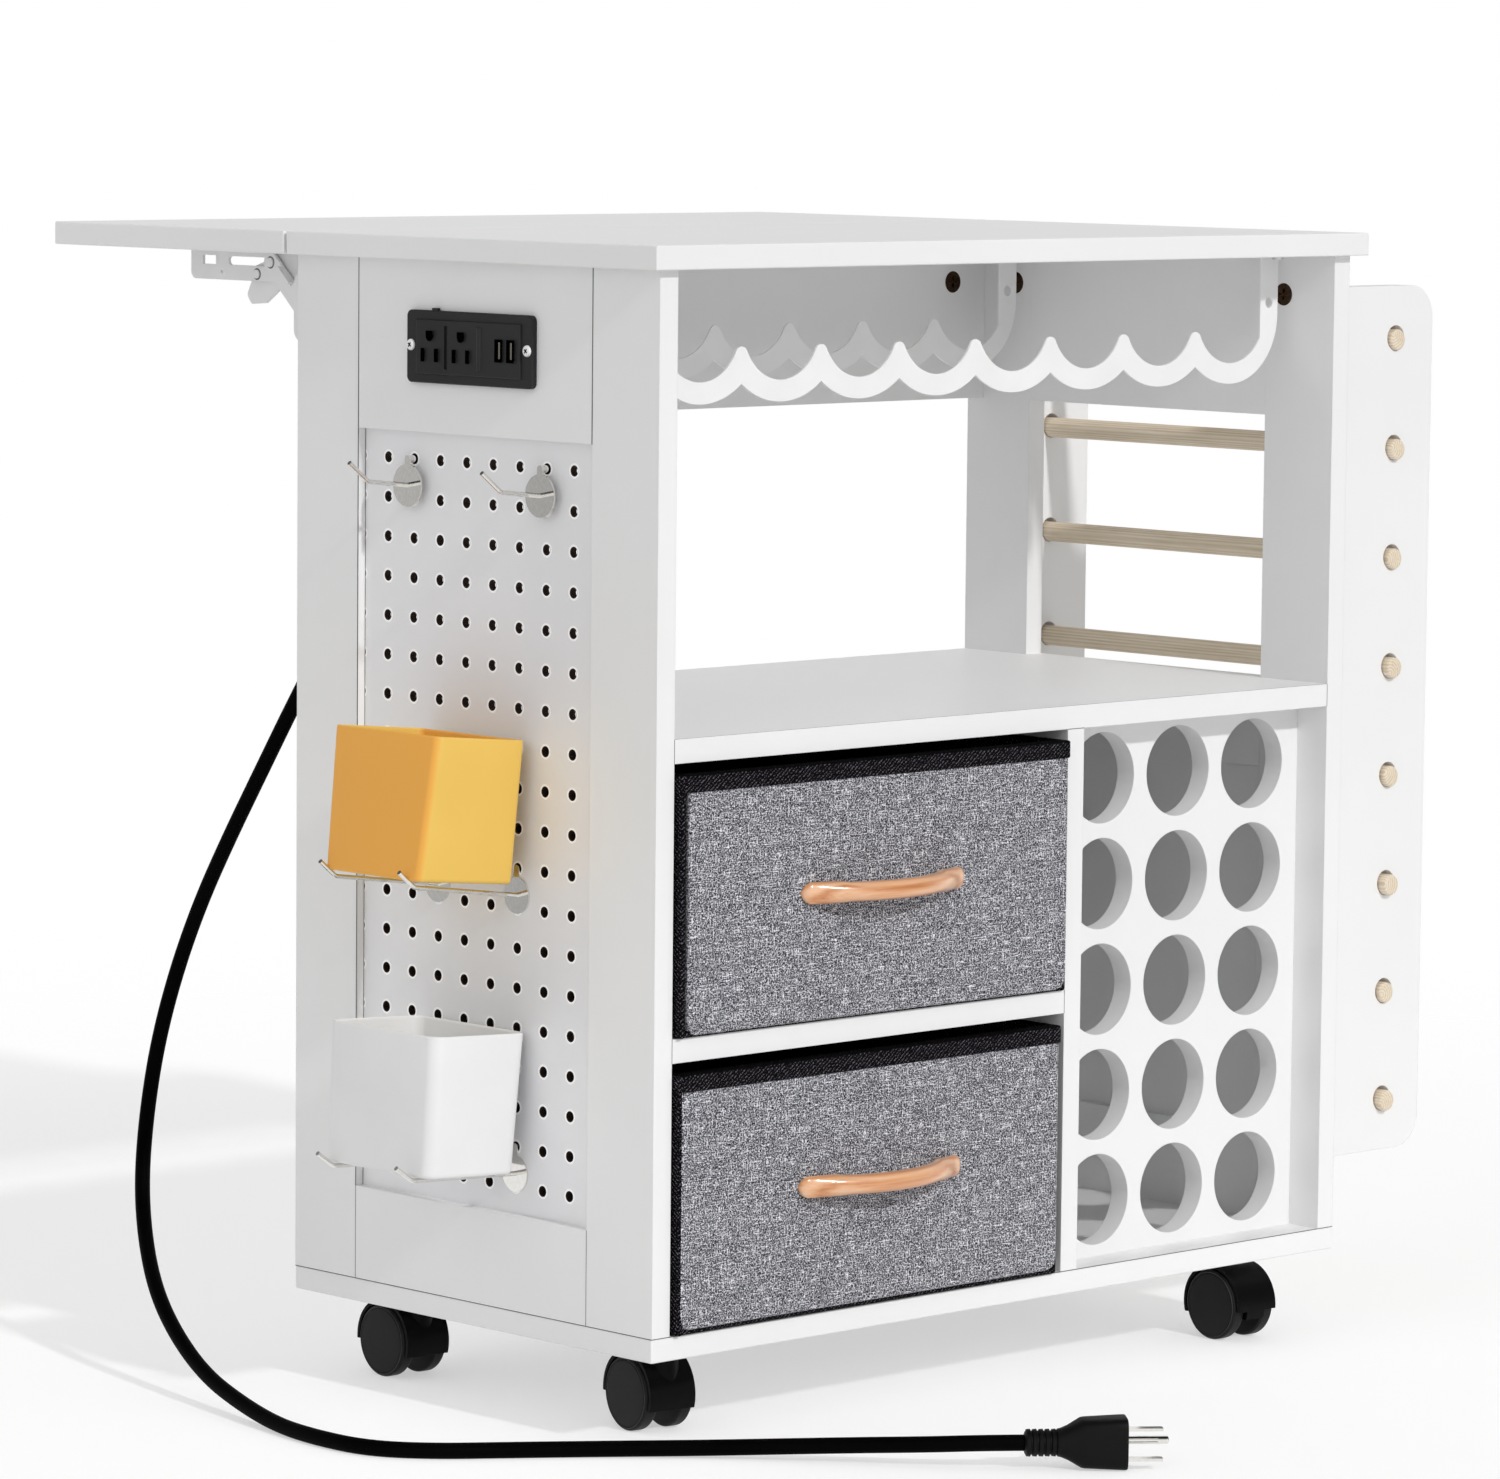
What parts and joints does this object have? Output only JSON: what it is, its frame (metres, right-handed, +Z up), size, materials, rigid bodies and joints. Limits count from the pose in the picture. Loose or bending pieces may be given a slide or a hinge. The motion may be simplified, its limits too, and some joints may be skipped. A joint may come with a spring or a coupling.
{
  "type": "rolling craft cart",
  "caption": "Rolling craft cart with a fold-out leaf, pegboard side with hooks and bins, fabric drawers, roll racks, dowels and a corded outlet.",
  "frame": {"origin": "centre of the footprint on the floor, measured without the cord and its plug", "axes": "+X towards the dowel side, +Y towards the fold-out leaf at the rear, +Z up; the drawers face -Y"},
  "size_m": [0.8471, 0.8132, 0.741],
  "materials": {
    "white_melamine": "satin melamine on particle board",
    "pine": "sanded, unfinished",
    "beech": "clear satin",
    "grey_linen": "linen weave with black binding",
    "white_enamelled_steel": "satin",
    "grey_enamelled_steel": "satin",
    "zinc_plated_steel": "satin",
    "bronzed_zinc": "dark bronze",
    "nickel_plated_wire": "polished",
    "black_nylon": "satin",
    "black_plastic": "satin",
    "black_cord_rubber": "matte",
    "black_plug_plastic": "matte",
    "nickel_plated_brass": "nickel plated",
    "yellow_plastic": "satin",
    "white_plastic": "satin"
  },
  "bodies": {
    "cart": {"back_panel": "white_melamine", "back_top_rail": "white_melamine", "base_board": "white_melamine", "bracket_wall_arms": "grey_enamelled_steel", "cam_locks": "bronzed_zinc", "caster_plates": "zinc_plated_steel", "cord_gland": "black_plastic", "divider": "white_melamine", "drawer_shelf": "white_melamine", "ear_board_front": "white_melamine", "ear_board_rear": "white_melamine", "left_bottom_rail": "white_melamine", "left_front_stile": "white_melamine", "left_rear_stile": "white_melamine", "left_top_rail": "white_melamine", "middle_shelf": "white_melamine", "outlet_faceplate": "black_plastic", "outlet_housing": "black_plastic", "peg_hooks": "nickel_plated_wire", "pegboard": "white_melamine", "plug_body": "black_plug_plastic", "plug_pins": "nickel_plated_brass", "power_cord": "black_cord_rubber", "right_front_stile": "white_melamine", "right_lower_panel": "white_melamine", "right_lower_rails": "white_melamine", "right_rear_stile": "white_melamine", "right_top_rail": "white_melamine", "roll_grid_front": "white_melamine", "roll_grid_rear": "white_melamine", "roll_rack_front": "white_enamelled_steel", "roll_rack_rear": "white_enamelled_steel", "screws": "zinc_plated_steel", "top_board": "white_melamine"},
    "leaf": {"leaf_board": "white_melamine", "bracket_shelf_arms": "grey_enamelled_steel"},
    "struts": {"bracket_struts": "grey_enamelled_steel"},
    "levers": {"bracket_levers": "grey_enamelled_steel"},
    "upper_drawer": {"drawer_upper": "grey_linen", "handle_upper": "beech"},
    "lower_drawer": {"drawer_lower": "grey_linen", "handle_lower": "beech"},
    "upper_bin": {"bin_upper": "yellow_plastic"},
    "lower_bin": {"bin_lower": "white_plastic"},
    "dowel_rod_1": {"dowel_1": "pine"},
    "dowel_rod_2": {"dowel_2": "pine"},
    "dowel_rod_3": {"dowel_3": "pine"},
    "dowel_rod_4": {"dowel_4": "pine"},
    "dowel_rod_5": {"dowel_5": "pine"},
    "dowel_rod_6": {"dowel_6": "pine"},
    "dowel_rod_7": {"dowel_7": "pine"},
    "dowel_rod_8": {"dowel_8": "pine"},
    "swivel_fl": {"caster_hood_fl": "black_nylon"},
    "wheel_pair_fl": {"caster_wheels_fl": "black_nylon"},
    "swivel_rl": {"caster_hood_rl": "black_nylon"},
    "wheel_pair_rl": {"caster_wheels_rl": "black_nylon"},
    "swivel_fr": {"caster_hood_fr": "black_nylon"},
    "wheel_pair_fr": {"caster_wheels_fr": "black_nylon"},
    "swivel_rr": {"caster_hood_rr": "black_nylon"},
    "wheel_pair_rr": {"caster_wheels_rr": "black_nylon"}
  },
  "joints": [
    {"name": "leaf_fold", "type": "hinge", "parent": "cart", "child": "leaf", "pos_m": [0.00267, 0.08425, 0.704], "axis": [-1, 0, 0], "range_deg": [0, 90]},
    {"name": "strut_swing", "type": "hinge", "parent": "cart", "child": "struts", "pos_m": [0.00267, 0.07625, 0.6789], "axis": [-1, 0, 0], "range_deg": [0, 110]},
    {"name": "lever_turn", "type": "hinge", "parent": "leaf", "child": "levers", "pos_m": [0.00267, 0.13755, 0.7106], "axis": [1, 0, 0], "range_deg": [0, 18], "stiffness_Nm_per_rad": 0.05, "springref_deg": -17.19},
    {"name": "upper_drawer_slide", "type": "slide", "parent": "cart", "child": "upper_drawer", "axis": [0, -1, 0], "range_m": [0, 0.3]},
    {"name": "lower_drawer_slide", "type": "slide", "parent": "cart", "child": "lower_drawer", "axis": [0, -1, 0], "range_m": [0, 0.3]},
    {"name": "upper_bin_lift", "type": "slide", "parent": "cart", "child": "upper_bin", "axis": [0, 0, 1], "range_m": [0, 0.05]},
    {"name": "lower_bin_lift", "type": "slide", "parent": "cart", "child": "lower_bin", "axis": [0, 0, 1], "range_m": [0, 0.05]},
    {"name": "dowel_1_slide", "type": "slide", "parent": "cart", "child": "dowel_rod_1", "axis": [0, -1, 0], "range_m": [0, 0.35]},
    {"name": "dowel_2_slide", "type": "slide", "parent": "cart", "child": "dowel_rod_2", "axis": [0, -1, 0], "range_m": [0, 0.35]},
    {"name": "dowel_3_slide", "type": "slide", "parent": "cart", "child": "dowel_rod_3", "axis": [0, -1, 0], "range_m": [0, 0.35]},
    {"name": "dowel_4_slide", "type": "slide", "parent": "cart", "child": "dowel_rod_4", "axis": [0, -1, 0], "range_m": [0, 0.35]},
    {"name": "dowel_5_slide", "type": "slide", "parent": "cart", "child": "dowel_rod_5", "axis": [0, -1, 0], "range_m": [0, 0.35]},
    {"name": "dowel_6_slide", "type": "slide", "parent": "cart", "child": "dowel_rod_6", "axis": [0, -1, 0], "range_m": [0, 0.35]},
    {"name": "dowel_7_slide", "type": "slide", "parent": "cart", "child": "dowel_rod_7", "axis": [0, -1, 0], "range_m": [0, 0.35]},
    {"name": "dowel_8_slide", "type": "slide", "parent": "cart", "child": "dowel_rod_8", "axis": [0, -1, 0], "range_m": [0, 0.35]},
    {"name": "swivel_fl_turn", "type": "hinge", "parent": "cart", "child": "swivel_fl", "pos_m": [-0.25033, -0.22075, 0.053], "axis": [0, 0, 1], "continuous": true},
    {"name": "wheel_pair_fl_spin", "type": "hinge", "parent": "swivel_fl", "child": "wheel_pair_fl", "pos_m": [-0.2479, -0.20544, 0.0235], "axis": [0.9877, -0.1564, 0], "continuous": true},
    {"name": "swivel_rl_turn", "type": "hinge", "parent": "cart", "child": "swivel_rl", "pos_m": [-0.25033, 0.01325, 0.053], "axis": [0, 0, 1], "continuous": true},
    {"name": "wheel_pair_rl_spin", "type": "hinge", "parent": "swivel_rl", "child": "wheel_pair_rl", "pos_m": [-0.24951, 0.02873, 0.0235], "axis": [0.9986, -0.0523, 0], "continuous": true},
    {"name": "swivel_fr_turn", "type": "hinge", "parent": "cart", "child": "swivel_fr", "pos_m": [0.25567, -0.22075, 0.053], "axis": [0, 0, 1], "continuous": true},
    {"name": "wheel_pair_fr_spin", "type": "hinge", "parent": "swivel_fr", "child": "wheel_pair_fr", "pos_m": [0.25459, -0.23621, 0.0235], "axis": [-0.9976, 0.0698, 0], "continuous": true},
    {"name": "swivel_rr_turn", "type": "hinge", "parent": "cart", "child": "swivel_rr", "pos_m": [0.25567, 0.01325, 0.053], "axis": [0, 0, 1], "continuous": true},
    {"name": "wheel_pair_rr_spin", "type": "hinge", "parent": "swivel_rr", "child": "wheel_pair_rr", "pos_m": [0.2589, -0.00191, 0.0235], "axis": [-0.9781, -0.2079, 0], "continuous": true}
  ],
  "couplings": [
    {"joint": "strut_swing", "follows": "leaf_fold", "ratio": 1.219}
  ]
}
